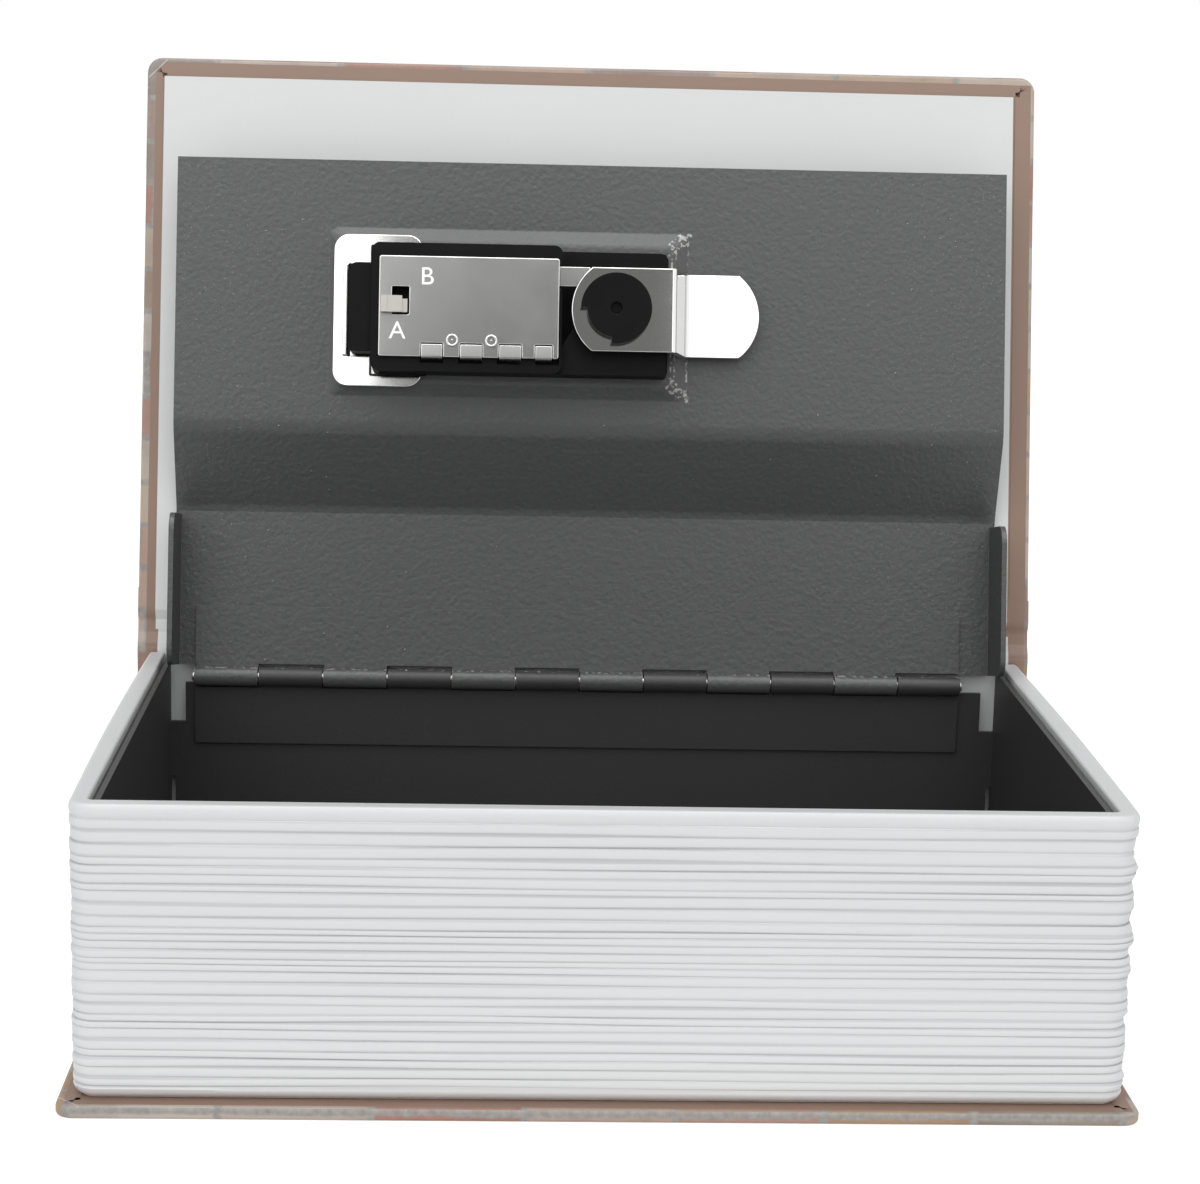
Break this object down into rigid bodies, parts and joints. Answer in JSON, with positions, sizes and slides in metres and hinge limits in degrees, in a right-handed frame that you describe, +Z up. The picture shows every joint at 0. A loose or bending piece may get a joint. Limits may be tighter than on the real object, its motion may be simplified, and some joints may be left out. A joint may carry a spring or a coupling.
{
  "type": "book diversion safe",
  "caption": "Dummy book with a flexible front cover hiding a steel cash tray under a hinged steel lid with a dial combination cam lock.",
  "frame": {"origin": "centre of the back cover's underside, counted with the book closed", "axes": "+Z up, +X to the right along the spine's length, +Y from the opening side towards the spine"},
  "size_m": [0.18, 0.1424, 0.1695],
  "materials": {
    "printed_cover": "printed paper over pressed board, satin",
    "endpaper": "matt white paper",
    "page_plastic": "white moulded plastic, satin",
    "tray_paint": "near-black stoved paint",
    "lid_paint": "grey hammered paint",
    "chrome": "bright chrome plate",
    "lock_plastic": "black moulded plastic",
    "pin_steel": "bright drawn steel",
    "dial_metal": "satin nickel plate with plain numbers"
  },
  "bodies": {
    "case": {"back_cover_board": "printed_cover", "back_fold_strip": "printed_cover", "spine_board": "printed_cover", "spine_lining": "endpaper", "page_block": "page_plastic", "cash_tray": "tray_paint", "tray_hinge_leaf": "tray_paint", "hinge_pin": "pin_steel"},
    "cover_fold": {"front_fold_strip": "printed_cover"},
    "front_cover": {"front_cover_board": "printed_cover", "front_endpaper": "endpaper"},
    "lid": {"lid_panel": "lid_paint", "lid_hinge_leaf": "lid_paint", "lock_housing": "lock_plastic", "lock_faceplate": "chrome", "lock_cover_plate": "chrome", "lock_clip": "chrome", "dial_axle": "pin_steel"},
    "dial_1": {"number_dial_1": "dial_metal"},
    "dial_2": {"number_dial_2": "dial_metal"},
    "dial_3": {"number_dial_3": "dial_metal"},
    "reset_lever": {"reset_lever": "chrome"},
    "lock_cam": {"cam_plate": "chrome", "cam_screw": "lock_plastic", "lock_spindle": "pin_steel", "turn_knob": "chrome"}
  },
  "joints": [
    {"name": "lid_hinge", "type": "hinge", "parent": "case", "child": "lid", "pos_m": [0, 0.0505, 0.0492], "axis": [-1, 0, 0], "range_deg": [-102.4, 0]},
    {"name": "cover_fold_turn", "type": "hinge", "parent": "case", "child": "cover_fold", "pos_m": [0, 0.0581, 0.0552], "axis": [-1, 0, 0], "range_deg": [-102.4, 0]},
    {"name": "cover_hinge", "type": "hinge", "parent": "cover_fold", "child": "front_cover", "pos_m": [0, 0.059, 0.0593], "axis": [-1, 0, 0], "range_deg": [0, 109]},
    {"name": "cam_turn", "type": "hinge", "parent": "lid", "child": "lock_cam", "pos_m": [0.004, 0.05982, 0.12138], "axis": [0, -0.9767, 0.2147], "range_deg": [0, 90]},
    {"name": "dial_1_spin", "type": "hinge", "parent": "lid", "child": "dial_1", "pos_m": [-0.0274, 0.05777, 0.12183], "axis": [1, 0, 0], "continuous": true},
    {"name": "dial_2_spin", "type": "hinge", "parent": "lid", "child": "dial_2", "pos_m": [-0.0199, 0.05777, 0.12183], "axis": [1, 0, 0], "continuous": true},
    {"name": "dial_3_spin", "type": "hinge", "parent": "lid", "child": "dial_3", "pos_m": [-0.0124, 0.05777, 0.12183], "axis": [1, 0, 0], "continuous": true},
    {"name": "reset_slide", "type": "slide", "parent": "lid", "child": "reset_lever", "axis": [0, 0.2147, 0.9767], "range_m": [0, 0.0022]}
  ],
  "couplings": [
    {"joint": "cover_fold_turn", "follows": "lid_hinge", "ratio": 1}
  ]
}
